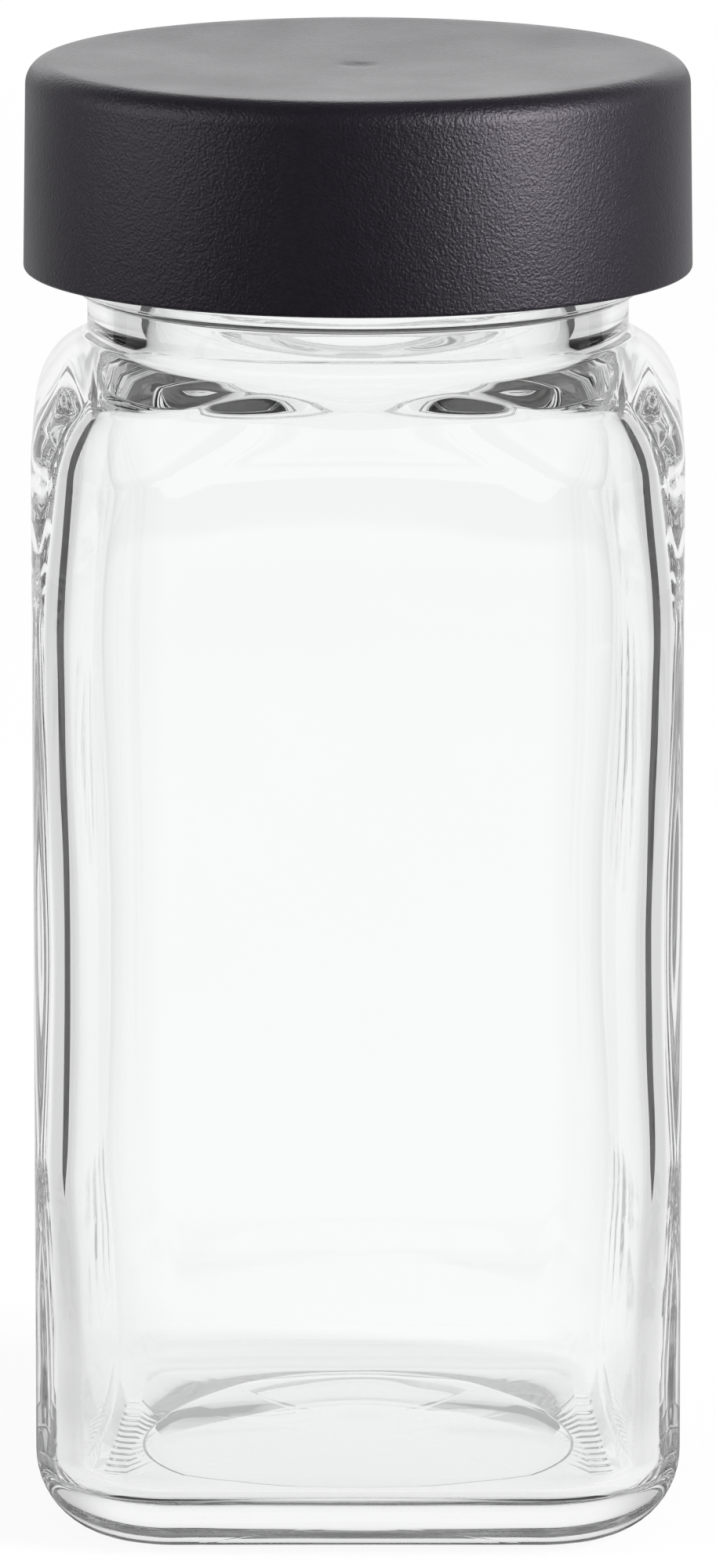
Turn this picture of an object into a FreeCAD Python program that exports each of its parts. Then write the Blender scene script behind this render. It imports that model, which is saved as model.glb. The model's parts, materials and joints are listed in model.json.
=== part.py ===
"""Square glass spice jar with a wide screw cap and a sealing liner.

Millimetres, +Z up. The origin is the middle of the base, on the surface that the jar stands on.
Each piece is one solid of its own, written to parts/NODE.step.
"""
import FreeCAD, Part
import math
import os

# Glass body: a square with rounded upright corners.
BODY_WIDTH = 50.2
BODY_CORNER_RADIUS = 10.8
HEEL_RADIUS = 6.6
WALL_THICKNESS = 2.5
FLOOR_THICKNESS = 5.2
FLOOR_CORNER_RADIUS = 5.0

# Round recess under the base, inside the ring that the jar stands on. The ring is narrowest at mid-side.
BEARING_RING_WIDTH = 1.1
PUNT_STEP = 0.4
PUNT_DEPTH = 1.3

# Shoulder: a cone that the upright walls run into with a large radius. At mid-side the walls stand
# out from the neck by the ledge.
SHOULDER_LEDGE = 4.05
SHOULDER_SLOPE_DEG = 30.0
SHOULDER_EDGE_RADIUS = 5.8
SHOULDER_THICKNESS = 4.2
INSIDE_EDGE_RADIUS = 5.0
NECK_ROOT_HEIGHT = 92.7
NECK_ROOT_FILLET = 0.9

# Neck, bead and thread finish. The thread itself is fine carving and stays with the visual model.
NECK_WALL = 4.85
BEAD_PROUD = 0.85
BEAD_HEIGHT = 1.9
FINISH_STEP = 0.95
BORE_FILLET = 6.5
LIP_RADIUS = 0.9

# Screw cap: an outer skirt round a threaded inner skirt, with ribs across the gap between them.
CAP_HEIGHT = 16.3
CAP_DRAFT_DEG = 0.85
CAP_TOP_EDGE_RADIUS = 1.5
CAP_TOP_THICKNESS = 2.3
CAP_SKIRT_THICKNESS = 1.5
CAP_GAP_ABOVE_ROOT = 4.8
DISH_LAND = 1.25
DISH_DEPTH = 0.5
DIMPLE_RADIUS = 1.7
DIMPLE_DEPTH = 0.3
INNER_SKIRT_THICKNESS = 1.3
INNER_SKIRT_SETBACK = 1.3
SKIRT_GAP = 1.6
RIB_COUNT = 12
RIB_THICKNESS = 0.9
RIB_SETBACK = 4.0

# Liner, and the clearances that tie the pieces together.
LINER_THICKNESS = 1.2
LINER_CLEARANCE = 0.3
THREAD_DEPTH = 1.1
THREAD_CLEARANCE = 0.4
RETAINER_PROUD = 0.45
RETAINER_HEIGHT = 0.7
RETAINER_GAP = 0.05

# Overlap that lets two forms of one solid fuse cleanly, and the slack for finding an edge by its place.
WELD = 0.2
FIT = 0.01

SHOULDER_SLOPE = math.tan(math.radians(SHOULDER_SLOPE_DEG))
CAP_DRAFT = math.tan(math.radians(CAP_DRAFT_DEG))
NECK_RADIUS = BODY_WIDTH / 2 - SHOULDER_LEDGE
FINISH_RADIUS = NECK_RADIUS - FINISH_STEP
BORE_RADIUS = NECK_RADIUS - NECK_WALL
PUNT_RADIUS = BODY_WIDTH / 2 - HEEL_RADIUS - BEARING_RING_WIDTH
CAP_RIM_Z = NECK_ROOT_HEIGHT + CAP_GAP_ABOVE_ROOT
CAP_TOP_Z = CAP_RIM_Z + CAP_HEIGHT
CAP_CEILING_Z = CAP_TOP_Z - CAP_TOP_THICKNESS
GLASS_RIM_Z = CAP_CEILING_Z - LINER_THICKNESS
BEAD_MIDDLE_Z = CAP_RIM_Z - BEAD_HEIGHT / 2
INNER_SKIRT_RADIUS = FINISH_RADIUS + THREAD_DEPTH + THREAD_CLEARANCE
POCKET_RADIUS = INNER_SKIRT_RADIUS + INNER_SKIRT_THICKNESS
CAP_RIM_RADIUS = POCKET_RADIUS + SKIRT_GAP + CAP_SKIRT_THICKNESS
CAP_TOP_RADIUS = CAP_RIM_RADIUS - CAP_HEIGHT * CAP_DRAFT
LINER_RADIUS = INNER_SKIRT_RADIUS - LINER_CLEARANCE


def point(radius, height):
    """A point of a profile that is turned about the Z axis."""
    return FreeCAD.Vector(radius, 0, height)


def line(start, end):
    return Part.makeLine(start, end)


def arc(start, middle, end):
    return Part.Arc(start, middle, end).toShape()


def turned(edges):
    """The solid that a closed profile sweeps about the Z axis."""
    face = Part.Face(Part.Wire(edges))
    return face.revolve(FreeCAD.Vector(0, 0, 0), FreeCAD.Vector(0, 0, 1), 360)


def outline(points):
    """Straight edges from point to point and back to the first."""
    ends = points[1:] + points[:1]
    return [line(start, end) for start, end in zip(points, ends)]


def cap_ball_radius(edge_radius, depth):
    """Radius of the ball whose cap has this edge radius and depth."""
    return (edge_radius ** 2 + depth ** 2) / (2 * depth)


def hollow_from_above(shape, edge_radius, depth, height):
    """The shape with a shallow round hollow, whose edge lies at the given height on the Z axis."""
    ball_radius = cap_ball_radius(edge_radius, depth)
    return shape.cut(Part.makeSphere(ball_radius, FreeCAD.Vector(0, 0, height - depth + ball_radius)))


def edges_where(shape, wanted):
    return [edge for edge in shape.Edges if wanted(edge)]


def circles_at(shape, radius, height):
    """The level edges of a shape that run round the Z axis at this radius and height."""
    def is_wanted(edge):
        box = edge.BoundBox
        level = box.ZLength < FIT and abs(box.ZMin - height) < FIT
        return level and all(abs(math.hypot(end.X, end.Y) - radius) < FIT for end in edge.Vertexes)

    return edges_where(shape, is_wanted)


def rounded_prism(width, corner_radius, bottom, top):
    """A square prism about the Z axis with rounded upright edges."""
    corner = FreeCAD.Vector(-width / 2, -width / 2, bottom)
    prism = Part.makeBox(width, width, top - bottom, corner)
    upright = edges_where(prism, lambda edge: edge.BoundBox.ZLength > top - bottom - FIT)
    return prism.makeFillet(corner_radius, upright)


def shouldered_prism(width, corner_radius, bottom, neck_radius, neck_height, bottom_radius, top_radius):
    """A rounded prism under a cone that narrows to the neck, with its bottom and shoulder edges rounded."""
    prism = rounded_prism(width, corner_radius, bottom, neck_height)
    reach = width / 2
    cone = turned(outline([
        point(0, bottom),
        point(neck_radius + reach, bottom),
        point(neck_radius + reach, neck_height - reach * SHOULDER_SLOPE),
        point(neck_radius, neck_height),
        point(0, neck_height),
    ]))
    body = prism.common(cone)

    def is_shoulder_edge(edge):
        ends_on_wall = all(math.hypot(end.X, end.Y) > width / 2 - FIT for end in edge.Vertexes)
        return ends_on_wall and min(end.Z for end in edge.Vertexes) > bottom + FIT

    body = body.makeFillet(top_radius, edges_where(body, is_shoulder_edge))
    return body.makeFillet(bottom_radius, edges_where(body, lambda edge: edge.BoundBox.ZMax < bottom + FIT))


def finish_profile():
    """Neck, bead, thread root and rim, as the half section of a solid plug."""
    root = point(NECK_RADIUS, NECK_ROOT_HEIGHT - SHOULDER_EDGE_RADIUS)
    bead_low = point(NECK_RADIUS, BEAD_MIDDLE_Z - BEAD_HEIGHT / 2)
    bead_out = point(NECK_RADIUS + BEAD_PROUD, BEAD_MIDDLE_Z)
    bead_high = point(NECK_RADIUS, BEAD_MIDDLE_Z + BEAD_HEIGHT / 2)
    land = point(FINISH_RADIUS, BEAD_MIDDLE_Z + BEAD_HEIGHT / 2)
    lip_low = point(FINISH_RADIUS, GLASS_RIM_Z - LIP_RADIUS)
    bend = LIP_RADIUS * (1 - math.sqrt(0.5))
    lip_bend = point(FINISH_RADIUS - bend, GLASS_RIM_Z - bend)
    lip_high = point(FINISH_RADIUS - LIP_RADIUS, GLASS_RIM_Z)
    axis_high = point(0, GLASS_RIM_Z)
    axis_low = point(0, NECK_ROOT_HEIGHT - SHOULDER_EDGE_RADIUS)
    return [
        line(axis_low, root),
        line(root, bead_low),
        arc(bead_low, bead_out, bead_high),
        line(bead_high, land),
        line(land, lip_low),
        arc(lip_low, lip_bend, lip_high),
        line(lip_high, axis_high),
        line(axis_high, axis_low),
    ]


def punt():
    """The recess under the base: a short upright step round a shallow dome."""
    plug = Part.makeCylinder(PUNT_RADIUS, PUNT_DEPTH + WELD, FreeCAD.Vector(0, 0, -WELD))
    ball_radius = cap_ball_radius(PUNT_RADIUS, PUNT_DEPTH - PUNT_STEP)
    return plug.common(Part.makeSphere(ball_radius, FreeCAD.Vector(0, 0, PUNT_DEPTH - ball_radius)))


def cavity():
    """The space inside the glass, with the bore run out past the rim."""
    width = BODY_WIDTH - 2 * WALL_THICKNESS
    corner_radius = BODY_CORNER_RADIUS - WALL_THICKNESS
    drop = SHOULDER_THICKNESS / math.cos(math.radians(SHOULDER_SLOPE_DEG))
    cone_height = NECK_ROOT_HEIGHT + (NECK_RADIUS - BORE_RADIUS) * SHOULDER_SLOPE - drop
    space = shouldered_prism(width, corner_radius, FLOOR_THICKNESS, BORE_RADIUS, cone_height,
                             FLOOR_CORNER_RADIUS, INSIDE_EDGE_RADIUS)
    bore = turned(outline([
        point(0, FLOOR_THICKNESS + FLOOR_CORNER_RADIUS),
        point(BORE_RADIUS, FLOOR_THICKNESS + FLOOR_CORNER_RADIUS),
        point(BORE_RADIUS, GLASS_RIM_Z + WELD),
        point(0, GLASS_RIM_Z + WELD),
    ]))
    space = space.fuse(bore).removeSplitter()
    return space.makeFillet(BORE_FILLET, circles_at(space, BORE_RADIUS, cone_height))


def glass_jar():
    body = shouldered_prism(BODY_WIDTH, BODY_CORNER_RADIUS, 0, NECK_RADIUS, NECK_ROOT_HEIGHT,
                            HEEL_RADIUS, SHOULDER_EDGE_RADIUS)
    body = body.fuse(turned(finish_profile())).removeSplitter()
    body = body.makeFillet(NECK_ROOT_FILLET, circles_at(body, NECK_RADIUS, NECK_ROOT_HEIGHT))
    body = body.cut(cavity()).cut(punt())
    return body.makeFillet(LIP_RADIUS, circles_at(body, BORE_RADIUS, GLASS_RIM_Z)).Solids[0]


def cap_profile():
    """Half section of the cap: outer skirt, top, inner skirt with the liner retainer."""
    bend = CAP_TOP_EDGE_RADIUS * (1 - math.sqrt(0.5))
    rim_out = point(CAP_RIM_RADIUS, CAP_RIM_Z)
    edge_low = point(CAP_TOP_RADIUS + CAP_DRAFT * CAP_TOP_EDGE_RADIUS, CAP_TOP_Z - CAP_TOP_EDGE_RADIUS)
    edge_bend = point(CAP_TOP_RADIUS - bend, CAP_TOP_Z - bend)
    edge_high = point(CAP_TOP_RADIUS - CAP_TOP_EDGE_RADIUS, CAP_TOP_Z)
    top_middle = point(0, CAP_TOP_Z)
    ceiling_middle = point(0, CAP_CEILING_Z)
    ceiling_edge = point(INNER_SKIRT_RADIUS, CAP_CEILING_Z)
    retainer_z = GLASS_RIM_Z - RETAINER_GAP
    retainer_high = point(INNER_SKIRT_RADIUS, retainer_z)
    retainer_in = point(INNER_SKIRT_RADIUS - RETAINER_PROUD, retainer_z - RETAINER_HEIGHT / 2)
    retainer_low = point(INNER_SKIRT_RADIUS, retainer_z - RETAINER_HEIGHT)
    inner_low = point(INNER_SKIRT_RADIUS, CAP_RIM_Z + INNER_SKIRT_SETBACK)
    inner_back = point(POCKET_RADIUS, CAP_RIM_Z + INNER_SKIRT_SETBACK)
    pocket_in = point(POCKET_RADIUS, CAP_CEILING_Z)
    pocket_out = point(CAP_TOP_RADIUS - CAP_SKIRT_THICKNESS, CAP_CEILING_Z)
    rim_in = point(CAP_RIM_RADIUS - CAP_SKIRT_THICKNESS, CAP_RIM_Z)
    return [
        line(rim_out, edge_low),
        arc(edge_low, edge_bend, edge_high),
        line(edge_high, top_middle),
        line(top_middle, ceiling_middle),
        line(ceiling_middle, ceiling_edge),
        line(ceiling_edge, retainer_high),
        arc(retainer_high, retainer_in, retainer_low),
        line(retainer_low, inner_low),
        line(inner_low, inner_back),
        line(inner_back, pocket_in),
        line(pocket_in, pocket_out),
        line(pocket_out, rim_in),
        line(rim_in, rim_out),
    ]


def rib(number):
    """One upright rib between the inner and the outer skirt."""
    start = POCKET_RADIUS - WELD
    end = POCKET_RADIUS + SKIRT_GAP
    bottom = CAP_RIM_Z + INNER_SKIRT_SETBACK + RIB_SETBACK
    height = CAP_CEILING_Z + WELD - bottom
    corner = FreeCAD.Vector(start, -RIB_THICKNESS / 2, bottom)
    blade = Part.makeBox(end - start, RIB_THICKNESS, height, corner)
    blade.rotate(FreeCAD.Vector(0, 0, 0), FreeCAD.Vector(0, 0, 1), number * 360 / RIB_COUNT)
    return blade


def screw_cap():
    cap = turned(cap_profile())
    cap = cap.fuse([rib(number) for number in range(RIB_COUNT)]).removeSplitter()
    dish_radius = CAP_TOP_RADIUS - CAP_TOP_EDGE_RADIUS - DISH_LAND
    cap = hollow_from_above(cap, dish_radius, DISH_DEPTH, CAP_TOP_Z)
    cap = hollow_from_above(cap, DIMPLE_RADIUS, DIMPLE_DEPTH, CAP_TOP_Z - DISH_DEPTH)
    return cap.Solids[0]


def seal_liner():
    """The sealing disc, flat against the cap's ceiling and the glass rim."""
    return Part.makeCylinder(LINER_RADIUS, LINER_THICKNESS, FreeCAD.Vector(0, 0, GLASS_RIM_Z))


def main():
    os.makedirs("parts", exist_ok=True)
    pieces = {"glass_jar": glass_jar(), "screw_cap": screw_cap(), "seal_liner": seal_liner()}
    for node, shape in pieces.items():
        shape.exportStep("parts/" + node + ".step")
        box = shape.BoundBox
        print(node, shape.ShapeType, len(shape.Solids), "solid", "valid" if shape.isValid() else "INVALID",
              "volume %.1f" % shape.Volume, "z %.2f to %.2f" % (box.ZMin, box.ZMax))
    print("space inside up to the rim: %.1f ml" % (cavity().Volume / 1000))


main()
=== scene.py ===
# %% [markdown]
# A square glass spice jar with a wide black screw cap. The jar, the cap and the sealing liner inside the
# cap are three pieces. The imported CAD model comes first, because every piece has to sit where its solid
# sits and move with its body. It could be drawn again by eye, but loading it keeps both models one size.

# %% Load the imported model
import json
import math

import bmesh
import bpy
from mathutils import Matrix, Vector, noise

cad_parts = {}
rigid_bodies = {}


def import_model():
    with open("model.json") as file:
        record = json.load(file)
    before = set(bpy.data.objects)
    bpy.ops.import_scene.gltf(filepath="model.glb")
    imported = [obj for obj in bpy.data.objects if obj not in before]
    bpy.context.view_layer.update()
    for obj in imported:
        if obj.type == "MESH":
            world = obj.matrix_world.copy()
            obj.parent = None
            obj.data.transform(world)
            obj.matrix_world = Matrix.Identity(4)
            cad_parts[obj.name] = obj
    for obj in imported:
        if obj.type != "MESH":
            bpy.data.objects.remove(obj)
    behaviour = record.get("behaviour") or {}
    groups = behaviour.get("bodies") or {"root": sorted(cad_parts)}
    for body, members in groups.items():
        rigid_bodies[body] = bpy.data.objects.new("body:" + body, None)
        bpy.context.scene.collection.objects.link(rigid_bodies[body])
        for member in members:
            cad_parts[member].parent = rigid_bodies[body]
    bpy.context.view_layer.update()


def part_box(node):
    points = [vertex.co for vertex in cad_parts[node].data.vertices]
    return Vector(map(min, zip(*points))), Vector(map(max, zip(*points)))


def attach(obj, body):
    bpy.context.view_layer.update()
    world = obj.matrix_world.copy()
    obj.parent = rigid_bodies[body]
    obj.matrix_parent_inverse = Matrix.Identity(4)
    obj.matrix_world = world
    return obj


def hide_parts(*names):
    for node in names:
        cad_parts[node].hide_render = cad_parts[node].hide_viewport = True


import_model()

glass_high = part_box("glass_jar")[1]
cap_low, cap_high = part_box("screw_cap")
liner_low, liner_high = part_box("seal_liner")

# %% [markdown]
# The photograph is matched by a camera ninety centimetres away, a little above the cap, with a long lens. A
# long lens keeps the jar's upright edges almost parallel. The camera could be aimed with a constraint, but a
# plain place and tilt are easier to compare with the picture. Light runs round inside thick glass, so the
# limits on its bounces are raised as well.

# %% Camera
CAMERA_PLACE = (0, -0.8986, 0.2365)
CAMERA_TILT = math.radians(11.33)
FOCAL_LENGTH = 268.3
SENSOR_WIDTH = 36
LIGHT_BOUNCES = 48

lens = bpy.data.cameras.new("long_lens")
lens.lens = FOCAL_LENGTH
lens.sensor_width = SENSOR_WIDTH
camera = bpy.data.objects.new("camera", lens)
camera.location = CAMERA_PLACE
camera.rotation_euler = (math.pi / 2 - CAMERA_TILT, 0, 0)
bpy.context.scene.collection.objects.link(camera)
bpy.context.scene.camera = camera
bpy.context.scene.view_settings.view_transform = "Standard"
for limit in ("max_bounces", "glossy_bounces", "transmission_bounces"):
    setattr(bpy.context.scene.cycles, limit, LIGHT_BOUNCES)
print("camera", CAMERA_PLACE, "tilted down", round(math.degrees(CAMERA_TILT), 2), "degrees")

# %% [markdown]
# All three pieces start as turned shapes, as on a lathe, so each begins with a half section: one line of
# edges from the middle of the piece round its skin. The section is drawn with sharp corners in millimetres,
# and a vertex bevel then rounds each corner by its radius. Points could be worked out along every arc
# instead, but the bevel keeps the drawing as short as a workshop sketch.

# %% Draw a half section and round its corners
ROUND_PROFILE = 0.5


def section(corners):
    """A new bmesh with one line of edges through corners given as (radius, height)."""
    mesh = bmesh.new()
    row = [mesh.verts.new((radius, 0, height)) for radius, height in corners]
    for start, end in zip(row, row[1:]):
        mesh.edges.new((start, end))
    return mesh


def nearest_vertex(mesh, place):
    """The vertex of the section that is nearest to a place given as (radius, height)."""
    spot = Vector((place[0], 0, place[1]))
    return min(mesh.verts, key=lambda each: (each.co - spot).length)


def round_corner(mesh, corner, radius, segments):
    """Bevels the vertex at a corner of the section to an arc of this radius."""
    vertex = nearest_vertex(mesh, corner)
    first, second = (edge.other_vert(vertex).co - vertex.co for edge in vertex.link_edges)
    turn = math.pi - first.angle(second)
    bmesh.ops.bevel(mesh, geom=[vertex], offset=radius * math.tan(turn / 2), offset_type="OFFSET",
                    segments=segments, profile=ROUND_PROFILE, affect="VERTICES", material=-1,
                    clamp_overlap=False)


def divide(mesh, place, cuts):
    """Cuts the straight edge that runs through a place of the section, and returns its new vertices."""
    spot = Vector((place[0], 0, place[1]))

    def detour(edge):
        start, end = (vertex.co for vertex in edge.verts)
        return (spot - start).length + (spot - end).length - (start - end).length

    edge = min(mesh.edges, key=detour)
    made = bmesh.ops.subdivide_edges(mesh, edges=[edge], cuts=cuts)
    return [each for each in made["geom_inner"] if isinstance(each, bmesh.types.BMVert)]


print("section tools ready")

# %% [markdown]
# A section becomes a skin by a full turn about the upright axis. A screw modifier would do the same, but the
# spin leaves a mesh that can still be pressed and cut by hand. Its first and last column and the points on
# the axis are merged, because an open seam would let light into the glass. At the end the mesh is brought
# from millimetres to metres.

# %% Spin a section and finish a piece
MILLIMETRE = 0.001
MERGE_DISTANCE = 0.0001


def turn_round(mesh, steps):
    """Spins the section about the upright axis and closes its seam and its poles."""
    bmesh.ops.spin(mesh, geom=mesh.verts[:] + mesh.edges[:], cent=(0, 0, 0), axis=(0, 0, 1),
                   dvec=(0, 0, 0), angle=2 * math.pi, steps=steps, use_merge=True)
    bmesh.ops.remove_doubles(mesh, verts=mesh.verts[:], dist=MERGE_DISTANCE)
    bmesh.ops.recalc_face_normals(mesh, faces=mesh.faces[:])


def finished_piece(mesh, name):
    """Brings the mesh from millimetres to metres and makes it a smooth object of the scene."""
    bmesh.ops.scale(mesh, vec=(MILLIMETRE, MILLIMETRE, MILLIMETRE), verts=mesh.verts[:])
    for face in mesh.faces:
        face.smooth = True
    data = bpy.data.meshes.new(name)
    mesh.to_mesh(data)
    triangles = sum(len(face.verts) - 2 for face in mesh.faces)
    open_edges = sum(1 for edge in mesh.edges if len(edge.link_faces) != 2)
    mesh.free()
    piece = bpy.data.objects.new(name, data)
    bpy.context.scene.collection.objects.link(piece)
    print(name, triangles, "triangles,", open_edges, "open edges")
    return piece


print("one unit of a section is", MILLIMETRE, "m")

# %% [markdown]
# The jar is pressed and blown from one gob of glass. Its neck and its mouth are round and its body is
# square. A sculptor would cut the square from a block and add the neck, but the glass works goes the other
# way: a round blank is blown out into a square mould. The same is done here. The blank is as wide as the
# jar is between two opposite sides. Its width and height come from the solid. The rest is read from the
# picture or, where the cap hides it, follows the solid.

# %% Sizes of the glass blank
HALF_WIDTH = glass_high.x / MILLIMETRE
RIM_HEIGHT = glass_high.z / MILLIMETRE
WALL = 2.5
INSIDE_HALF_WIDTH = HALF_WIDTH - WALL
HEEL_RADIUS = 6.6
FLOOR_HEIGHT = 4.5
FLOOR_DOME = 0.5
FLOOR_WALL = 3.4
FLOOR_HALF_WIDTH = HALF_WIDTH - FLOOR_WALL
FLOOR_CORNER = 2.0
RECESS_RADIUS = 17.4
RECESS_STEP = 0.35
RECESS_DEPTH = 0.85
NECK_RADIUS = 21.05
NECK_ROOT = 92.7
BEAD_RADIUS = 21.9
BEAD_BOTTOM = 95.6
BEAD_TOP = 97.5
FINISH_RADIUS = 20.1
BORE_RADIUS = 16.2
SLOPE = math.tan(math.radians(30))
SHOULDER = NECK_ROOT - (HALF_WIDTH - NECK_RADIUS) * SLOPE
BORE_ROOT = 91.3
INSIDE_SLOPE = math.tan(math.radians(43))
SHOULDER_WALL = 4.1
SHOULDER_HALF_WIDTH = HALF_WIDTH - SHOULDER_WALL
INSIDE_SHOULDER = BORE_ROOT - (SHOULDER_HALF_WIDTH - BORE_RADIUS) * INSIDE_SLOPE
THIN_WALL_TOP = 74.0
THIN_WALL_BOTTOM = 28.0
THICK_WALL_TOP = 13.0
print("glass blank: %.1f mm wide, %.1f mm tall" % (2 * HALF_WIDTH, RIM_HEIGHT))

# %% [markdown]
# The section runs from the middle of the recess under the base, out and up the outside, over the rim and
# down the inside to the middle of the floor. The thick floor and the heavy neck are part of it, so the wall
# has an outside and an inside and refracts as real glass does. One skin with a made-up thickness would be
# quicker, but it would not bend the light at the shoulder.

# %% Section of the glass blank
RIM_ROUND = 0.9
WALL_EASE = 60.0

glass = section([
    (0, RECESS_DEPTH),
    (RECESS_RADIUS, RECESS_STEP),
    (RECESS_RADIUS, 0),
    (HALF_WIDTH, 0),
    (HALF_WIDTH, SHOULDER),
    (NECK_RADIUS, NECK_ROOT),
    (NECK_RADIUS, BEAD_BOTTOM),
    (BEAD_RADIUS, BEAD_BOTTOM),
    (BEAD_RADIUS, BEAD_TOP),
    (FINISH_RADIUS, BEAD_TOP),
    (FINISH_RADIUS, RIM_HEIGHT),
    (BORE_RADIUS, RIM_HEIGHT),
    (BORE_RADIUS, BORE_ROOT),
    (SHOULDER_HALF_WIDTH, INSIDE_SHOULDER),
    (INSIDE_HALF_WIDTH, THIN_WALL_TOP),
    (INSIDE_HALF_WIDTH, THIN_WALL_BOTTOM),
    (FLOOR_HALF_WIDTH, THICK_WALL_TOP),
    (FLOOR_HALF_WIDTH, FLOOR_HEIGHT),
    (0, FLOOR_HEIGHT + FLOOR_DOME),
])
# Each corner has the radius of its arc in millimetres and the number of the arc's segments.
for corner, radius, segments in [
    ((RECESS_RADIUS, RECESS_STEP), 0.2, 4),
    ((RECESS_RADIUS, 0), 0.15, 4),
    ((HALF_WIDTH, 0), HEEL_RADIUS, 14),
    ((HALF_WIDTH, SHOULDER), 5.8, 12),
    ((NECK_RADIUS, NECK_ROOT), 1.0, 5),
    ((NECK_RADIUS, BEAD_BOTTOM), 0.15, 4),
    ((BEAD_RADIUS, BEAD_BOTTOM), 0.68, 9),
    ((BEAD_RADIUS, BEAD_TOP), 0.9, 9),
    ((FINISH_RADIUS, BEAD_TOP), 0.3, 3),
    ((FINISH_RADIUS, RIM_HEIGHT), RIM_ROUND, 6),
    ((BORE_RADIUS, RIM_HEIGHT), RIM_ROUND, 6),
    ((BORE_RADIUS, BORE_ROOT), 8.0, 14),
    ((SHOULDER_HALF_WIDTH, INSIDE_SHOULDER), 6.6, 12),
    ((INSIDE_HALF_WIDTH, THIN_WALL_TOP), WALL_EASE, 6),
    ((INSIDE_HALF_WIDTH, THIN_WALL_BOTTOM), WALL_EASE, 4),
    ((FLOOR_HALF_WIDTH, THICK_WALL_TOP), WALL_EASE, 4),
    ((FLOOR_HALF_WIDTH, FLOOR_HEIGHT), FLOOR_CORNER, 10),
]:
    round_corner(glass, corner, radius, segments)
print("glass section:", len(glass.verts), "vertices")

# %% [markdown]
# Long straight runs of the section are cut where the glass changes on its way: the thread needs close rings,
# the wavy inside wall needs some, and the inside floor and the recess under the base are shallow domes.
# Moving the cut points onto a dome is quicker than drawing that flat an arc with a bevel.

# %% Cuts for the thread, the inside wall and the domes
THREAD_MIDDLE = 104
BORE_MIDDLE = 100
NECK_MIDDLE = 94.4
WALL_MIDDLE = 45
BASE_SPOT = 8
FLOOR_SPOT_RISE = 0.6
INSIDE_SPOT = 2
OUTSIDE_SPOT = 0.8
GLASS_STEPS = 380

divide(glass, (FINISH_RADIUS, THREAD_MIDDLE), 40)
divide(glass, (BORE_RADIUS, BORE_MIDDLE), 6)
divide(glass, (NECK_RADIUS, NECK_MIDDLE), 8)
divide(glass, (HALF_WIDTH, WALL_MIDDLE), 6)
divide(glass, (INSIDE_HALF_WIDTH, WALL_MIDDLE), 24)
for vertex in divide(glass, (BASE_SPOT, FLOOR_HEIGHT + FLOOR_DOME * FLOOR_SPOT_RISE), 8):
    reach = vertex.co.x / (FLOOR_HALF_WIDTH - FLOOR_CORNER)
    vertex.co.z = FLOOR_HEIGHT + FLOOR_DOME * (1 - reach ** 2)
divide(glass, (SHOULDER_HALF_WIDTH - INSIDE_SPOT, INSIDE_SHOULDER + INSIDE_SPOT * INSIDE_SLOPE), 5)
divide(glass, (NECK_RADIUS + OUTSIDE_SPOT, NECK_ROOT - OUTSIDE_SPOT * SLOPE), 4)
recess_rise = RECESS_DEPTH - RECESS_STEP
for vertex in divide(glass, (BASE_SPOT, RECESS_DEPTH - BASE_SPOT * recess_rise / RECESS_RADIUS), 9):
    vertex.co.z = RECESS_DEPTH - recess_rise * (vertex.co.x / RECESS_RADIUS) ** 2
turn_round(glass, GLASS_STEPS)
print("round blank:", len(glass.verts), "vertices in", GLASS_STEPS, "steps")

# %% [markdown]
# Now the mould presses the blank square. Seen from above, the outer wall is a square with rounded corners.
# A bevelled cube would give that square too, but a formula for the wall at every angle lets each point of
# the round blank find its own place on it.

# %% The square mould
CORNER_RADIUS = 10.8
FLAT_HALF = HALF_WIDTH - CORNER_RADIUS
QUARTER_TURN = math.pi / 2


def mould_wall(angle):
    """Point and outward direction of the outer wall, seen from above, at an angle about the axis."""
    side = round(angle / QUARTER_TURN) * QUARTER_TURN
    off_side = angle - side
    along = HALF_WIDTH * math.tan(off_side)
    point = Vector((HALF_WIDTH, along))
    outward = Vector((1, 0))
    if abs(along) > FLAT_HALF:
        centre = Vector((FLAT_HALF, math.copysign(FLAT_HALF, off_side)))
        ray = Vector((math.cos(off_side), math.sin(off_side)))
        reach = ray.dot(centre)
        point = ray * (reach + math.sqrt(reach ** 2 - centre.length_squared + CORNER_RADIUS ** 2))
        outward = (point - centre) / CORNER_RADIUS
    turn = Matrix.Rotation(side, 2)
    return turn @ point, turn @ outward


def share(value, start, end):
    """0 at start and before it, 1 at end and after it, and straight in between."""
    return min(1, max(0, (value - start) / (end - start)))


corner_point = mould_wall(QUARTER_TURN / 2)[0]
print("from the axis to a corner of the wall: %.2f mm" % corner_point.length)

# %% [markdown]
# The inside of a blown wall is never flat. Glass that touched the first mould settles into a thicker band
# about half way up the body, and the rest waves by about a tenth of a millimetre. The outside follows the
# polished mould. A bump in the material could hint at the waves, but only real waves bend the dark lines at
# the edges of the jar.

# %% Waves of the inside wall
SETTLE_HEIGHT = 46
SETTLE_SPREAD = 15
SETTLE_DEPTH = 0.7
WAVE_DEPTH = 0.12
WAVE_LENGTH = 26
WAVE_SQUEEZE = 0.8
WAVES_BOTTOM = 10
WAVES_TOP = 84
WAVES_FADE = 10


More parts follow.
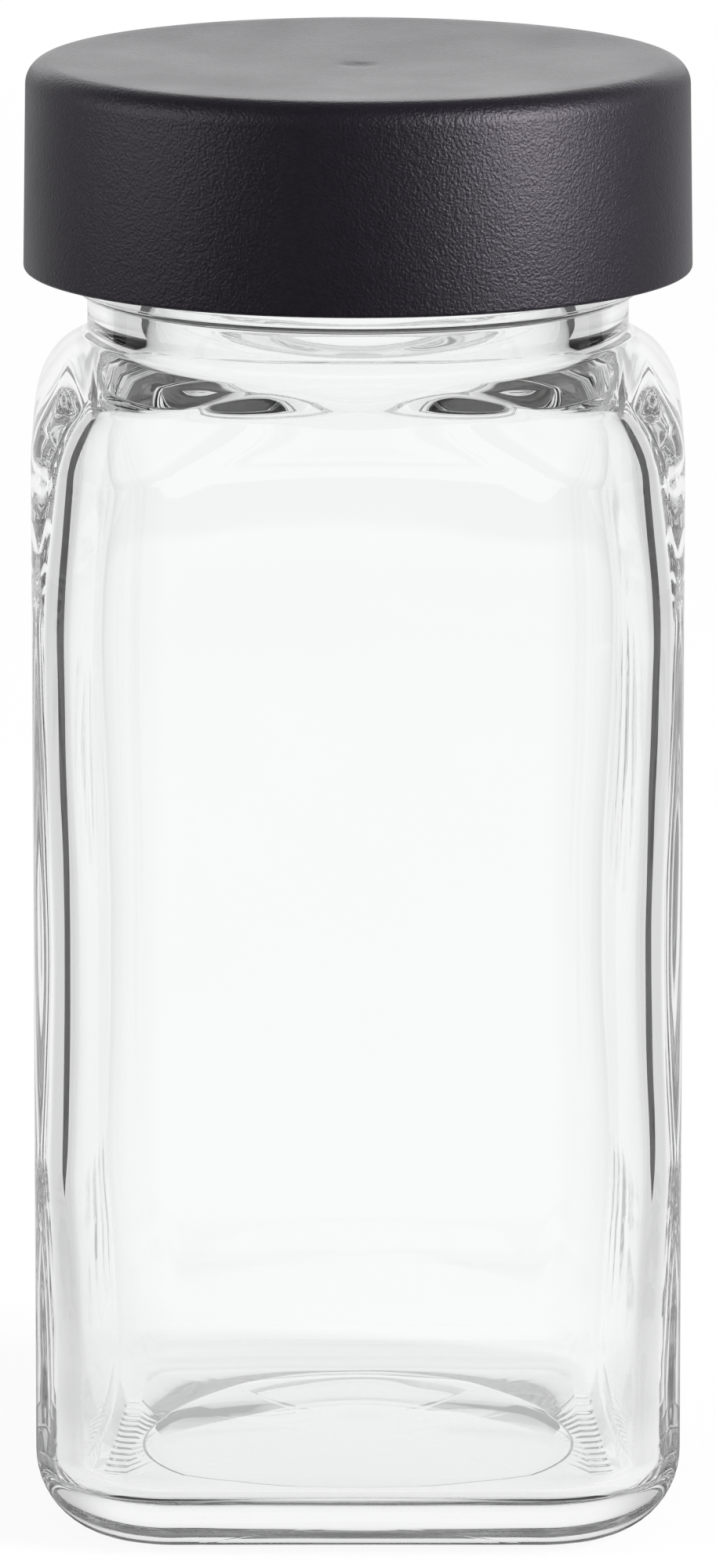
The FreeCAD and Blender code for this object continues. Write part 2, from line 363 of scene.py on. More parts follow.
def wall_extra(place, height):
    """How much thicker than the plain wall the glass is at a place of the inside."""
    settled = SETTLE_DEPTH * math.exp(-((height - SETTLE_HEIGHT) / SETTLE_SPREAD) ** 2)
    wave = noise.noise(Vector((place.x, place.y, height * WAVE_SQUEEZE)) / WAVE_LENGTH)
    edge_fade = share(height, WAVES_BOTTOM, WAVES_BOTTOM + WAVES_FADE)
    edge_fade *= share(height, WAVES_TOP, WAVES_TOP - WAVES_FADE)
    return (settled + WAVE_DEPTH * wave) * edge_fade


print("extra glass at the settled band: %.2f mm" % wall_extra(Vector((INSIDE_HALF_WIDTH, 0)), SETTLE_HEIGHT))

# %% [markdown]
# In the press every point of the body moves outwards until it lies as far inside the square wall as it lay
# inside the blank's. The neck and the recess stay round, so the move fades out along the shoulder, which
# stays on its cone, and across the ring that the jar stands on. The inside shoulder has fade limits of its
# own, because there the glass is heavier than on the wall. A lattice could push the mesh about too, but
# not with a skin that stays parallel to the mould.

# %% Press the blank into the mould
FLOOR_SLACK = 0.1
SKIN_SLACK = 0.05
WALL_TOP = 87.0
ROUND_UNTIL = NECK_RADIUS + 0.5
SQUARE_FROM = HALF_WIDTH - 2.9
INSIDE_WALL_TOP = 84.5
INSIDE_WALL_BOTTOM = FLOOR_HEIGHT + 5.0
INSIDE_TOP = 91.5
INSIDE_ROUND_UNTIL = BORE_RADIUS + 2.15
INSIDE_SQUARE_FROM = SHOULDER_HALF_WIDTH - 1.55
INSIDE_CORNER_SLOPE = 0.11
FLOOR_ROUND_UNTIL = 4
FLOOR_SQUARE_FROM = INSIDE_HALF_WIDTH - 5
WAVES_INNER = 17
RECESS_ROUND_UNTIL = RECESS_RADIUS + 0.2
BEARING_RADIUS = HALF_WIDTH - HEEL_RADIUS


def pressed(radius, height, angle):
    """Where the mould takes a point of the round blank."""
    round_place = Vector((math.cos(angle), math.sin(angle))) * radius
    if height > NECK_ROOT:
        return Vector((round_place.x, round_place.y, height))
    wall, outward = mould_wall(angle)
    is_inside = FLOOR_HEIGHT - FLOOR_SLACK < height < INSIDE_TOP and radius < INSIDE_HALF_WIDTH + SKIN_SLACK
    if is_inside:
        half_width, bottom, top = SHOULDER_HALF_WIDTH, INSIDE_WALL_BOTTOM, INSIDE_WALL_TOP
        round_until, square_from = INSIDE_ROUND_UNTIL, INSIDE_SQUARE_FROM
        slope = INSIDE_CORNER_SLOPE
    else:
        half_width, bottom, top = HALF_WIDTH, HEEL_RADIUS, WALL_TOP
        round_until, square_from = ROUND_UNTIL, SQUARE_FROM
        slope = SLOPE
    skin = wall - outward * (HALF_WIDTH - half_width)
    growth = skin.length - half_width
    if height > top:
        amount = share(radius, round_until, square_from)
        skin_angle = math.atan2(skin.y, skin.x)
        off_angle = (skin_angle - angle + math.pi) % (2 * math.pi) - math.pi
        turned = angle + off_angle * amount
        place = Vector((math.cos(turned), math.sin(turned))) * (radius + growth * amount)
        return Vector((place.x, place.y, height - growth * amount * slope))
    if is_inside:
        amount = share(radius, FLOOR_ROUND_UNTIL, FLOOR_SQUARE_FROM)
        depth = HALF_WIDTH - radius + wall_extra(wall, height) * share(radius, WAVES_INNER, INSIDE_HALF_WIDTH)
    else:
        amount = share(radius, RECESS_ROUND_UNTIL, BEARING_RADIUS)
        depth = HALF_WIDTH - radius
    place = round_place.lerp(wall - outward * depth, amount)
    return Vector((place.x, place.y, height - growth * share(height, bottom, top) * slope))


for vertex in glass.verts:
    flat = vertex.co.xy
    vertex.co = pressed(flat.length, vertex.co.z, math.atan2(flat.y, flat.x))
print("pressed body: widest at %.2f mm" % max(vertex.co.x for vertex in glass.verts))

# %% [markdown]
# The mouth carries a three-start thread. Each ridge runs less than half way round and fades out at both
# ends, so the cap comes off with half a turn. A ridge could be swept along a helix and joined on, but in
# glass that leaves faces inside the wall, so the skin itself is pushed out along the helix.

# %% Thread on the mouth
THREAD_STARTS = 3
THREAD_LEAD = 12.6
THREAD_PITCH = THREAD_LEAD / THREAD_STARTS
THREAD_FIRST_HEIGHT = 101.4
THREAD_SPAN = math.radians(140)
THREAD_FADE = math.radians(14)
THREAD_DEPTH = 1.0
THREAD_BOTTOM = BEAD_TOP + 0.4
RIDGE_CREST = 0.35
RIDGE_FOOT = 1.1


def ridge_share(angle, height, first_height, first_angle, span):
    """1 on the crest of a thread ridge, 0 between the ridges, for a ridge that starts at a place."""
    best = 0
    for start in range(THREAD_STARTS):
        run = (angle - first_angle - start * 2 * math.pi / THREAD_STARTS) % (2 * math.pi)
        if run > span:
            continue
        above = height - first_height - THREAD_LEAD * run / (2 * math.pi)
        fade = share(min(run, span - run), 0, THREAD_FADE)
        best = max(best, fade * share(abs(above), RIDGE_FOOT, RIDGE_CREST))
    return best * best * (3 - 2 * best)


for vertex in glass.verts:
    radius = vertex.co.xy.length
    if vertex.co.z > THREAD_BOTTOM and abs(radius - FINISH_RADIUS) < SKIN_SLACK:
        angle = math.atan2(vertex.co.y, vertex.co.x)
        grown = THREAD_DEPTH * ridge_share(angle, vertex.co.z, THREAD_FIRST_HEIGHT, 0, THREAD_SPAN)
        vertex.co.xy *= (radius + grown) / radius
print("thread:", THREAD_STARTS, "ridges, pitch %.1f mm" % THREAD_PITCH)

# %% [markdown]
# Glass jars stand on a knurled ring: short ribs keep the hot base from sticking and chilling. Through the
# wall they show as a row of small teeth along the foot of the left and the right side. They are pressed into
# the ring as the thread was, because separate ribs would again leave faces inside the glass.

# %% Knurled ring under the base
KNURL_PITCH = 1.9
KNURL_DEPTH = 0.25
KNURL_INNER = 18.2
KNURL_OUTER = 21.0
KNURL_FADE = 0.6
KNURL_END = 12.5
KNURL_TOP = 1

knurled = 0
for vertex in glass.verts:
    across, along = abs(vertex.co.x), abs(vertex.co.y)
    if vertex.co.z < KNURL_TOP and KNURL_INNER < across < KNURL_OUTER and along < KNURL_END:
        strength = share(across, KNURL_INNER, KNURL_INNER + KNURL_FADE)
        strength *= share(across, KNURL_OUTER, KNURL_OUTER - KNURL_FADE)
        strength *= share(along, KNURL_END, KNURL_END - KNURL_FADE)
        wave = 0.5 - 0.5 * math.cos(2 * math.pi * vertex.co.y / KNURL_PITCH)
        vertex.co.z += KNURL_DEPTH * strength * wave
        knurled += 1
print("knurled points:", knurled)

# %% [markdown]
# The jar now has its shape. Its normals are set outwards once more, because glass bends light the wrong way
# wherever a normal points in. The object then rides on the jar's body and stands in for its solid.

# %% Finish the jar
bmesh.ops.recalc_face_normals(glass, faces=glass.faces[:])
jar = finished_piece(glass, "square_jar")
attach(jar, "jar")
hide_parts("glass_jar")

# %% [markdown]
# The cap is one moulding of black plastic: an outer skirt with a little draft, a dished top, and a threaded
# inner skirt that twelve ribs tie to the outer one. A small bead inside the inner skirt holds the liner. The
# cap could be carved from a cylinder with booleans, but a section that is spun keeps its edges clean.

# %% Section of the cap
DRAFT = math.radians(0.85)
CAP_RIM = cap_low.z / MILLIMETRE
CAP_TOP = cap_high.z / MILLIMETRE
CAP_RIM_RADIUS = cap_high.x / MILLIMETRE
CAP_TOP_RADIUS = CAP_RIM_RADIUS - (CAP_TOP - CAP_RIM) * math.tan(DRAFT)
CAP_CEILING = liner_high.z / MILLIMETRE
INNER_SKIRT_RADIUS = 21.6
POCKET_RADIUS = 22.9
OUTER_SKIRT = 1.5
INNER_SKIRT_RIM = CAP_RIM + 1.3
RETAINER_RADIUS = 21.15
RETAINER_TOP = RIM_HEIGHT - 0.05
RETAINER_HEIGHT = 0.7
RETAINER_MIDDLE = RETAINER_TOP - RETAINER_HEIGHT / 2
DISH_RADIUS = 23.0

cap_mesh = section([
    (0, CAP_TOP),
    (DISH_RADIUS, CAP_TOP),
    (CAP_TOP_RADIUS, CAP_TOP),
    (CAP_RIM_RADIUS, CAP_RIM),
    (CAP_RIM_RADIUS - OUTER_SKIRT, CAP_RIM),
    (CAP_TOP_RADIUS - OUTER_SKIRT, CAP_CEILING),
    (POCKET_RADIUS, CAP_CEILING),
    (POCKET_RADIUS, INNER_SKIRT_RIM),
    (INNER_SKIRT_RADIUS, INNER_SKIRT_RIM),
    (INNER_SKIRT_RADIUS, RETAINER_TOP - RETAINER_HEIGHT),
    (RETAINER_RADIUS, RETAINER_MIDDLE),
    (INNER_SKIRT_RADIUS, RETAINER_TOP),
    (INNER_SKIRT_RADIUS, CAP_CEILING),
    (0, CAP_CEILING),
])
for corner, radius, segments in [
    ((CAP_TOP_RADIUS, CAP_TOP), 1.9, 12),
    ((CAP_RIM_RADIUS, CAP_RIM), 0.3, 4),
    ((CAP_RIM_RADIUS - OUTER_SKIRT, CAP_RIM), 0.3, 4),
    ((CAP_TOP_RADIUS - OUTER_SKIRT, CAP_CEILING), 0.5, 4),
    ((POCKET_RADIUS, CAP_CEILING), 0.4, 4),
    ((POCKET_RADIUS, INNER_SKIRT_RIM), 0.3, 4),
    ((INNER_SKIRT_RADIUS, INNER_SKIRT_RIM), 0.3, 4),
    ((RETAINER_RADIUS, RETAINER_MIDDLE), 0.2, 3),
]:
    round_corner(cap_mesh, corner, radius, segments)
print("cap section:", len(cap_mesh.verts), "vertices")

# %% [markdown]
# The top of the cap is a shallow dish, and the gate where the plastic ran in left a small dimple in its
# middle. Both are too flat for a bevel, so the run across the top is cut and its points are lowered onto the
# curve. A bump would not do: the dish changes the outline of the highlight.

# %% Dish of the cap
DISH_DEPTH = 0.5
DIMPLE_RADIUS = 1.7
DIMPLE_DEPTH = 0.15
CAP_STEPS = 288

divide(cap_mesh, (INNER_SKIRT_RADIUS, THREAD_MIDDLE), 38)
dish_points = divide(cap_mesh, (DISH_RADIUS / 2, CAP_TOP), 45)
middle = nearest_vertex(cap_mesh, (0, CAP_TOP))
for vertex in dish_points + [middle]:
    radius = vertex.co.x
    vertex.co.z -= DISH_DEPTH * (1 - (radius / DISH_RADIUS) ** 2)
    vertex.co.z -= DIMPLE_DEPTH * max(0, 1 - (radius / DIMPLE_RADIUS) ** 2)
print("middle of the dish at %.2f mm" % middle.co.z)
turn_round(cap_mesh, CAP_STEPS)
print("cap:", len(cap_mesh.verts), "vertices in", CAP_STEPS, "steps")

# %% [markdown]
# The cap's own ridges run half a pitch under those of the glass, and both follow one helix, so they never
# meet while the cap turns. The ribs are plain blades, so each is a cube brought to size and turned into its
# place between the skirts, with its ends and its top sunk into them.

# %% Thread and ribs of the cap
CAP_THREAD_DEPTH = 0.9
CAP_THREAD_LAG = math.radians(40)
CAP_THREAD_RISE = THREAD_LEAD * CAP_THREAD_LAG / (2 * math.pi)
CAP_THREAD_FIRST_HEIGHT = THREAD_FIRST_HEIGHT - THREAD_PITCH / 2 + CAP_THREAD_RISE
CAP_THREAD_TOP = RETAINER_TOP - 0.8
CAP_SKIN_SLACK = 0.02
RIB_COUNT = 12
RIB_THICKNESS = 0.9
RIB_BOTTOM = INNER_SKIRT_RIM + 4.0
RIB_SINK = 0.2

for vertex in cap_mesh.verts:
    radius = vertex.co.xy.length
    if abs(radius - INNER_SKIRT_RADIUS) < CAP_SKIN_SLACK and vertex.co.z < CAP_THREAD_TOP:
        angle = math.atan2(vertex.co.y, vertex.co.x)
        ridge = ridge_share(angle, vertex.co.z, CAP_THREAD_FIRST_HEIGHT, CAP_THREAD_LAG, THREAD_SPAN)
        vertex.co.xy *= (radius - CAP_THREAD_DEPTH * ridge) / radius

rib_inner = POCKET_RADIUS - RIB_SINK
rib_outer = CAP_TOP_RADIUS - OUTER_SKIRT + RIB_SINK
rib_top = CAP_CEILING + RIB_SINK
rib_size = (rib_outer - rib_inner, RIB_THICKNESS, rib_top - RIB_BOTTOM)
rib_place = ((rib_inner + rib_outer) / 2, 0, (RIB_BOTTOM + rib_top) / 2)
for number in range(RIB_COUNT):
    rib = bmesh.ops.create_cube(cap_mesh, size=1)["verts"]
    bmesh.ops.scale(cap_mesh, vec=rib_size, verts=rib)
    bmesh.ops.translate(cap_mesh, vec=rib_place, verts=rib)
    bmesh.ops.rotate(cap_mesh, cent=(0, 0, 0), verts=rib,
                     matrix=Matrix.Rotation(number * 2 * math.pi / RIB_COUNT, 3, "Z"))
cap = finished_piece(cap_mesh, "wide_screw_cap")
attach(cap, "cap")
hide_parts("screw_cap")

# %% [markdown]
# The liner is a soft white disc that fills the ceiling of the cap and seals on the rim of the glass. The rim
# has pressed a faint ring into its face. A plain cylinder would do at a glance, but the rounded edge and the
# ring are what is seen when the cap is off.

# %% Sealing liner
LINER_RADIUS = liner_high.x / MILLIMETRE
LINER_BOTTOM = liner_low.z / MILLIMETRE
LINER_TOP = liner_high.z / MILLIMETRE
LINER_EDGE = 0.25
LINER_STEPS = 192
IMPRINT_INNER = BORE_RADIUS + 0.4
IMPRINT_OUTER = FINISH_RADIUS - 0.4
IMPRINT_FLANK = 0.4
IMPRINT_ROUND = 0.6
IMPRINT_CEILING = LINER_BOTTOM + 0.12

imprint = [
    (IMPRINT_INNER, LINER_BOTTOM),
    (IMPRINT_INNER + IMPRINT_FLANK, IMPRINT_CEILING),
    (IMPRINT_OUTER - IMPRINT_FLANK, IMPRINT_CEILING),
    (IMPRINT_OUTER, LINER_BOTTOM),
]
rim_edges = [
    (LINER_RADIUS, LINER_BOTTOM),
    (LINER_RADIUS, LINER_TOP),
]
liner_mesh = section([(0, LINER_BOTTOM)] + imprint + rim_edges + [(0, LINER_TOP)])
for corner in imprint:
    round_corner(liner_mesh, corner, IMPRINT_ROUND, 3)
for corner in rim_edges:
    round_corner(liner_mesh, corner, LINER_EDGE, 4)
turn_round(liner_mesh, LINER_STEPS)
liner = finished_piece(liner_mesh, "sealing_liner")
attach(liner, "liner")
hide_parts("seal_liner")

# %% [markdown]
# Finishes are node trees. They could be wired by hand in the shader editor, but their arithmetic reads best
# as ordinary Python. So one small class wraps an output socket: a sum or a product of two of them adds a
# Math node, and one method makes every other node from its type, its settings and what goes into its sockets.

# %% A socket that can do sums
class Wire:
    """An output socket of a node tree."""

    def __init__(self, tree, socket):
        self.tree = tree
        self.socket = socket

    @classmethod
    def node(cls, tree, kind, settings, inputs, output=0):
        """Adds a node, fills its sockets with numbers or wires, and returns one of its outputs."""
        made = tree.nodes.new(kind)
        for name, value in settings.items():
            setattr(made, name, value)
        for name, value in inputs.items():
            if isinstance(value, Wire):
                tree.links.new(value.socket, made.inputs[name])
            else:
                made.inputs[name].default_value = value
        return cls(tree, made.outputs[output]) if made.outputs else None

    def maths(self, operation, first, second):
        return Wire.node(self.tree, "ShaderNodeMath", {"operation": operation}, {0: first, 1: second})

    def __add__(self, other):
        return self.maths("ADD", self, other)

    __radd__ = __add__

    def __sub__(self, other):
        return self.maths("SUBTRACT", self, other)

    def __rsub__(self, other):
        return self.maths("SUBTRACT", other, self)

    def __mul__(self, other):
        return self.maths("MULTIPLY", self, other)


print("sockets can do sums")

# %% [markdown]
# The three finishes share a few steps: an empty tree, the place on the object, a smooth noise, a bump, a mix
# of two colours and the output. Each is a line or two here. Node groups would share them inside Blender, but
# functions keep every tree open to read.

# %% Nodes that the finishes share
def empty_tree(owner):
    """Clears the nodes of a material or a world and returns its tree."""
    owner.use_nodes = True
    owner.node_tree.nodes.clear()
    return owner.node_tree


def object_place(tree):
    return Wire.node(tree, "ShaderNodeTexCoord", {}, {}, "Object")


def cloudy(tree, place, scale, detail):
    """Smooth noise between 0 and 1."""
    return Wire.node(tree, "ShaderNodeTexNoise", {}, {
        "Vector": place, "Scale": scale, "Detail": detail}, "Fac")


def bumped(tree, height, distance, strength):
    return Wire.node(tree, "ShaderNodeBump", {}, {
        "Height": height, "Distance": distance, "Strength": strength})


def coloured(tree, amount, first, second):
    """A colour between two others."""
    return Wire.node(tree, "ShaderNodeMix", {"data_type": "RGBA"}, {0: amount, 6: first, 7: second}, 2)


def show_surface(tree, shader):
    Wire.node(tree, "ShaderNodeOutputMaterial", {}, {"Surface": shader})


print("node tools ready")

# %% [markdown]
# The glass is clear soda-lime glass. It bends light with an index of about 1.52 and has hardly any colour, so
# a Principled shader with full transmission is enough. Mould skin and fire polish leave it very slightly
# uneven: a weak wide ripple in the normal, and a faint change in roughness, keep it from looking like a
# computer's perfect glass.

# %% Clear glass
GLASS_HAZE = 0.02

clear_glass = bpy.data.materials.new("clear_glass")
tree = empty_tree(clear_glass)
place = object_place(tree)
ripple = cloudy(tree, place, scale=90, detail=1)
haze = cloudy(tree, place, scale=400, detail=3)
shader = Wire.node(tree, "ShaderNodeBsdfPrincipled", {}, {
    "Base Color": coloured(tree, ripple, (0.985, 0.992, 0.99, 1), (0.995, 0.998, 0.997, 1)),
    "Roughness": haze * GLASS_HAZE,
    "IOR": 1.52,
    "Transmission Weight": 1.0,
    "Normal": bumped(tree, ripple, distance=0.0004, strength=0.15),
})
show_surface(tree, shader)
jar.data.materials.append(clear_glass)
print("clear glass:", len(tree.nodes), "nodes")

# %% [markdown]
# The cap is polypropylene from a spark-eroded mould: nearly black with a touch of violet, and dull because
# its skin is covered with tiny pits. The pits are a fine noise in the normal; as geometry they would take
# millions of faces. A second, larger noise changes the roughness a little, as hands and packing do.

# %% Black plastic
PIT_SHARE = 0.75
SPECKLE_SHARE = 0.25
PLAIN_ROUGHNESS = 0.38
WEAR_ROUGHNESS = 0.10

black_plastic = bpy.data.materials.new("black_plastic")
tree = empty_tree(black_plastic)
place = object_place(tree)
pits = cloudy(tree, place, scale=4500, detail=2)
speckle = cloudy(tree, place, scale=1600, detail=3)
wear = cloudy(tree, place, scale=120, detail=4)
skin_height = pits * PIT_SHARE + speckle * SPECKLE_SHARE
shader = Wire.node(tree, "ShaderNodeBsdfPrincipled", {}, {
    "Base Color": coloured(tree, speckle, (0.003, 0.0022, 0.005, 1), (0.007, 0.0055, 0.010, 1)),
    "Roughness": PLAIN_ROUGHNESS + wear * WEAR_ROUGHNESS,
    "Specular IOR Level": 0.5,
    "Specular Tint": (0.96, 0.89, 1, 1),
    "Normal": bumped(tree, skin_height, distance=0.00012, strength=0.75),
})
show_surface(tree, shader)
cap.data.materials.append(black_plastic)
print("black plastic:", len(tree.nodes), "nodes")

# %% [markdown]
# The liner is foamed polyethylene: white, soft and slightly mottled, with a skin of very small cells. Light
# sinks a little way into real foam, but the disc is seen only under the lifted cap, so a plain surface with
# two noises is enough.

# %% White liner foam
FOAM_ROUGHNESS = 0.5
CELL_ROUGHNESS = 0.2

white_liner = bpy.data.materials.new("white_liner")
tree = empty_tree(white_liner)
place = object_place(tree)
cells = cloudy(tree, place, scale=2200, detail=2)
mottle = cloudy(tree, place, scale=160, detail=3)
shader = Wire.node(tree, "ShaderNodeBsdfPrincipled", {}, {
    "Base Color": coloured(tree, mottle, (0.78, 0.78, 0.76, 1), (0.86, 0.86, 0.85, 1)),
    "Roughness": FOAM_ROUGHNESS + cells * CELL_ROUGHNESS,
    "Normal": bumped(tree, cells, distance=0.0001, strength=0.5),
})
show_surface(tree, shader)
liner.data.materials.append(white_liner)
print("white liner:", len(tree.nodes), "nodes")

# %% [markdown]
# Clear glass shows nothing but its surroundings, so the set matters as much as the shader. Glass is often
# photographed in a bright field: what lies behind it is white and the sides are dimmer, so the thick edges,
# which bend light from the sides, draw the outline in grey. What the skin of the jar mirrors is bright
# behind it, nearly black in front of it and dim overhead. A studio does this with cards and gaps. Here one
# function gives the level for every direction, and the floor and the surround share it.

# %% Levels of the set
NEAR_REACH = 0.1
SIDE_FROM = 0.2
SIDE_UNTIL = 0.6
SIDE_LEVEL = 0.68
MIRROR_FROM = -0.2
MIRROR_FRONT = 0.03
MIRROR_BACK = 0.85
CEILING_FROM = 0.25
CEILING_UNTIL = 0.75
CEILING_LEVEL = 0.25


def ray_kinds(tree):
    """Three masks: what the camera sees, what it sees through glass, and what is mirrored in a surface."""
    camera_ray, gloss_ray, through_ray = (
        Wire.node(tree, "ShaderNodeLightPath", {}, {}, "Is %s Ray" % kind)
        for kind in ("Camera", "Glossy", "Transmission"))
    return camera_ray, through_ray, gloss_ray * (1 - through_ray)


def vector_maths(tree, operation, inputs, output=0):
    return Wire.node(tree, "ShaderNodeVectorMath", {"operation": operation}, inputs, output)


def coordinate(tree, vector, axis):
    return Wire.node(tree, "ShaderNodeSeparateXYZ", {}, {0: vector}, axis)


def ramp(tree, value, start, end, first, last, blend="SMOOTHSTEP"):
    """Goes from a first level to a last one while the value goes from start to end."""
    return Wire.node(tree, "ShaderNodeMapRange", {"interpolation_type": blend}, {
        "Value": value, "From Min": start, "From Max": end, "To Min": first, "To Max": last})


def set_level(tree, position):
    """How bright the set is in a direction from the jar, for light through glass and for mirrored light."""
    # Close to the jar's axis a direction means little, so the levels even out within NEAR_REACH of it.
    flat = vector_maths(tree, "MULTIPLY_ADD", {0: position, 1: (1, 1, 0), 2: (0, 0, NEAR_REACH)})
    way = vector_maths(tree, "NORMALIZE", {0: flat})
    off_axis = Wire.node(tree, "ShaderNodeMath", {"operation": "ABSOLUTE"}, {0: coordinate(tree, way, "X")})
    through = ramp(tree, off_axis, SIDE_FROM, SIDE_UNTIL, 1, SIDE_LEVEL)
    backwards = coordinate(tree, way, "Y")
    mirror = ramp(tree, backwards, MIRROR_FROM, 1, MIRROR_FRONT, MIRROR_BACK, blend="LINEAR")
    upwards = coordinate(tree, vector_maths(tree, "NORMALIZE", {0: position}), "Z")
    dimming = ramp(tree, upwards, CEILING_FROM, CEILING_UNTIL, 1, CEILING_LEVEL)
    return through, mirror * dimming


print("sides at", SIDE_LEVEL, "of the white behind the jar")

# %% [markdown]
# The floor is a plain sheet. To the camera and through the glass it mostly glows white, with a share of real
# lit surface that keeps the shadow. Seen through the glass, that share is larger under the jar. A sheet lit
# by lamps alone would need far more light than the cap can bear.

# %% Floor
FLOOR_SIZE = 8
BACKDROP_SHARE = 0.9
NEAR_SHARE = 0.8
SHADOW_INNER = 0.02
SHADOW_OUTER = 0.08
FLOOR_COLOUR = (0.9, 0.9, 0.9, 1)


def stage_mesh(mesh, name, material):
    """Makes a bmesh an object of the set, with one material."""
    data = bpy.data.meshes.new(name)
    mesh.to_mesh(data)
    mesh.free()
    data.materials.append(material)
    thing = bpy.data.objects.new(name, data)
    bpy.context.scene.collection.objects.link(thing)
    return thing


white_floor = bpy.data.materials.new("white_floor")
tree = empty_tree(white_floor)
seen, through, mirrored = ray_kinds(tree)
place = object_place(tree)
through_level, mirror_level = set_level(tree, place)
reach = vector_maths(tree, "LENGTH", {0: place}, "Value")
through_share = ramp(tree, reach, SHADOW_INNER, SHADOW_OUTER, NEAR_SHARE, BACKDROP_SHARE)
lit = Wire.node(tree, "ShaderNodeBsdfDiffuse", {}, {"Color": FLOOR_COLOUR})
glow = Wire.node(tree, "ShaderNodeEmission", {}, {
    "Strength": seen + through * through_level + mirrored * mirror_level})
shown = Wire.node(tree, "ShaderNodeMixShader", {}, {
    0: seen * BACKDROP_SHARE + through * through_share + mirrored, 1: lit, 2: glow})
show_surface(tree, shown)
floor_mesh = bmesh.new()
bmesh.ops.create_grid(floor_mesh, x_segments=1, y_segments=1, size=FLOOR_SIZE / 2)
floor = stage_mesh(floor_mesh, "floor", white_floor)
print("floor", FLOOR_SIZE, "m wide")

# %% [markdown]
# The photo has thin dark upright lines at the edges of the body. A photographer draws them with black flags,
# narrow cards just out of the picture. Four stand here close to the jar, tapered towards the floor so that
# they do not show in the base. They are kept out of the camera's sight and out of the light, and only light
# that was reflected exactly once on its way meets the card. To all other light it is clear, so the flags
# leave the flat of the wall and the bead alone.

# %% Black flags
FLAG_DISTANCE = 0.115
FLAG_HEIGHT = 0.3
FLAG_WIDTH = 0.022
FLAG_ANGLES = (67, 113, 247, 293)
FLAG_TAPER = 0.02
FLAG_ROWS = 20
FLAG_COLOUR = (0.12, 0.12, 0.12, 1)
REFLECTIONS = 1
TOLERANCE = 0.5

black_card = bpy.data.materials.new("black_card")
tree = empty_tree(black_card)
glossy_depth = Wire.node(tree, "ShaderNodeLightPath", {}, {}, "Glossy Depth")
reflected_once = Wire.node(tree, "ShaderNodeMath", {"operation": "COMPARE"}, {
    0: glossy_depth, 1: REFLECTIONS, 2: TOLERANCE})
dull = Wire.node(tree, "ShaderNodeBsdfDiffuse", {}, {"Color": FLAG_COLOUR})
clear = Wire.node(tree, "ShaderNodeBsdfTransparent", {}, {})
show_surface(tree, Wire.node(tree, "ShaderNodeMixShader", {}, {0: reflected_once, 1: clear, 2: dull}))
stand_up = Matrix.Rotation(QUARTER_TURN, 3, "X")
for angle in FLAG_ANGLES:
    flag_mesh = bmesh.new()
    card = bmesh.ops.create_grid(flag_mesh, x_segments=1, y_segments=FLAG_ROWS, size=0.5)["verts"]
    bmesh.ops.scale(flag_mesh, vec=(FLAG_WIDTH, FLAG_HEIGHT, 1), verts=card)
    bmesh.ops.rotate(flag_mesh, cent=(0, 0, 0), matrix=stand_up, verts=card)
    bmesh.ops.translate(flag_mesh, vec=(0, FLAG_DISTANCE, FLAG_HEIGHT / 2), verts=card)
    for vertex in card:
        vertex.co.x *= share(vertex.co.z, 0, FLAG_TAPER)
    swing = Matrix.Rotation(math.radians(angle), 3, "Z")
    bmesh.ops.rotate(flag_mesh, cent=(0, 0, 0), matrix=swing, verts=card)
    flag = stage_mesh(flag_mesh, "flag_%d" % angle, black_card)
    flag.visible_camera = False
    flag.visible_diffuse = False
    flag.visible_shadow = False
print("flags at", FLAG_ANGLES, "degrees from straight behind")

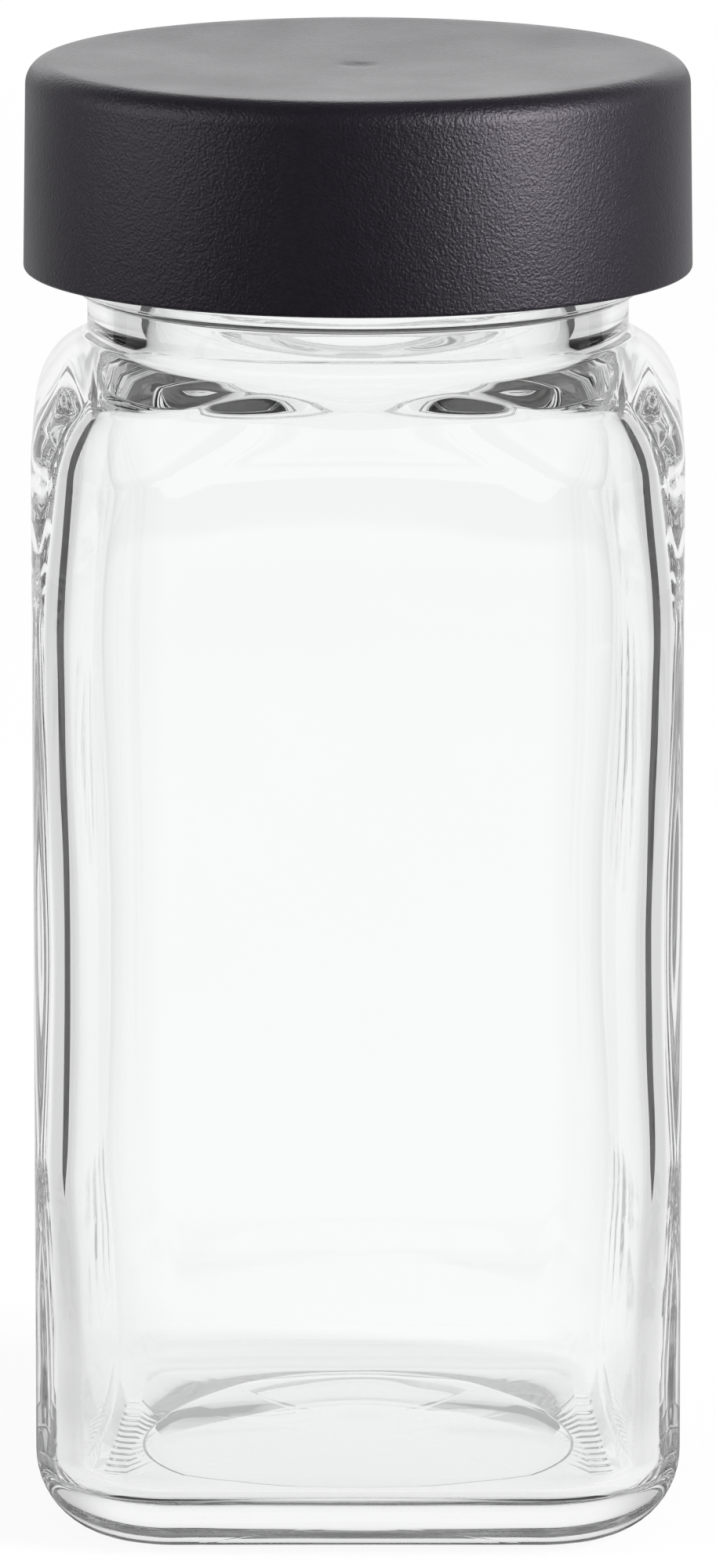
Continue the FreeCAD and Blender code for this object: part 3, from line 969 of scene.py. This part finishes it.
# %% [markdown]
# The surround is white to the camera. Through the glass and in mirrors it follows the levels of the set, and
# for all other light it is an even soft glow. A picture of a studio could surround the jar instead, but its
# windows and lamps would all show in the glass.

# %% Surround
AMBIENT = 0.5

world = bpy.data.worlds.new("white_surround")
bpy.context.scene.world = world
tree = empty_tree(world)
seen, through, mirrored = ray_kinds(tree)
direction = Wire.node(tree, "ShaderNodeTexCoord", {}, {}, "Generated")
through_level, mirror_level = set_level(tree, direction)
others = 1 - seen - through - mirrored
level = seen + through * through_level + mirrored * mirror_level + others * AMBIENT
surround = Wire.node(tree, "ShaderNodeBackground", {}, {"Color": (1, 1, 1, 1), "Strength": level})
Wire.node(tree, "ShaderNodeOutputWorld", {}, {"Surface": surround})
print("surround: %d nodes" % len(tree.nodes))

# %% [markdown]
# Three softboxes shape the cap: a tall one on the right that draws the highlight down the skirt, a weaker one
# on the left, and a wide weak one behind that lifts the top. They light the cap, the liner and the floor, and
# light linking keeps them off the glass, where their mirror images would cover the lines that the set draws.

# %% Softboxes
AIM = Vector((0, 0, 0.06))

lit_pieces = bpy.data.collections.new("lit_pieces")
for piece in (cap, liner, floor):
    lit_pieces.objects.link(piece)


def softbox(name, angle, height, distance, width, tall, power):
    """An area lamp that faces the jar from an angle, anticlockwise from straight behind."""
    lamp = bpy.data.lights.new(name, "AREA")
    lamp.shape = "RECTANGLE"
    lamp.size = width
    lamp.size_y = tall
    lamp.energy = power
    box = bpy.data.objects.new(name, lamp)
    turn = Matrix.Rotation(math.radians(angle), 3, "Z")
    box.location = turn @ Vector((0, distance, height))
    box.rotation_euler = (AIM - box.location).to_track_quat("-Z", "Y").to_euler()
    box.visible_camera = False
    box.visible_transmission = False
    box.light_linking.receiver_collection = lit_pieces
    bpy.context.scene.collection.objects.link(box)


softbox("key_softbox", angle=-119, height=0.35, distance=0.9, width=0.3, tall=0.7, power=16.0)
softbox("fill_softbox", angle=106, height=0.35, distance=1.0, width=0.3, tall=0.7, power=6.2)
softbox("back_softbox", angle=0, height=0.36, distance=1.1, width=0.9, tall=0.35, power=2.0)
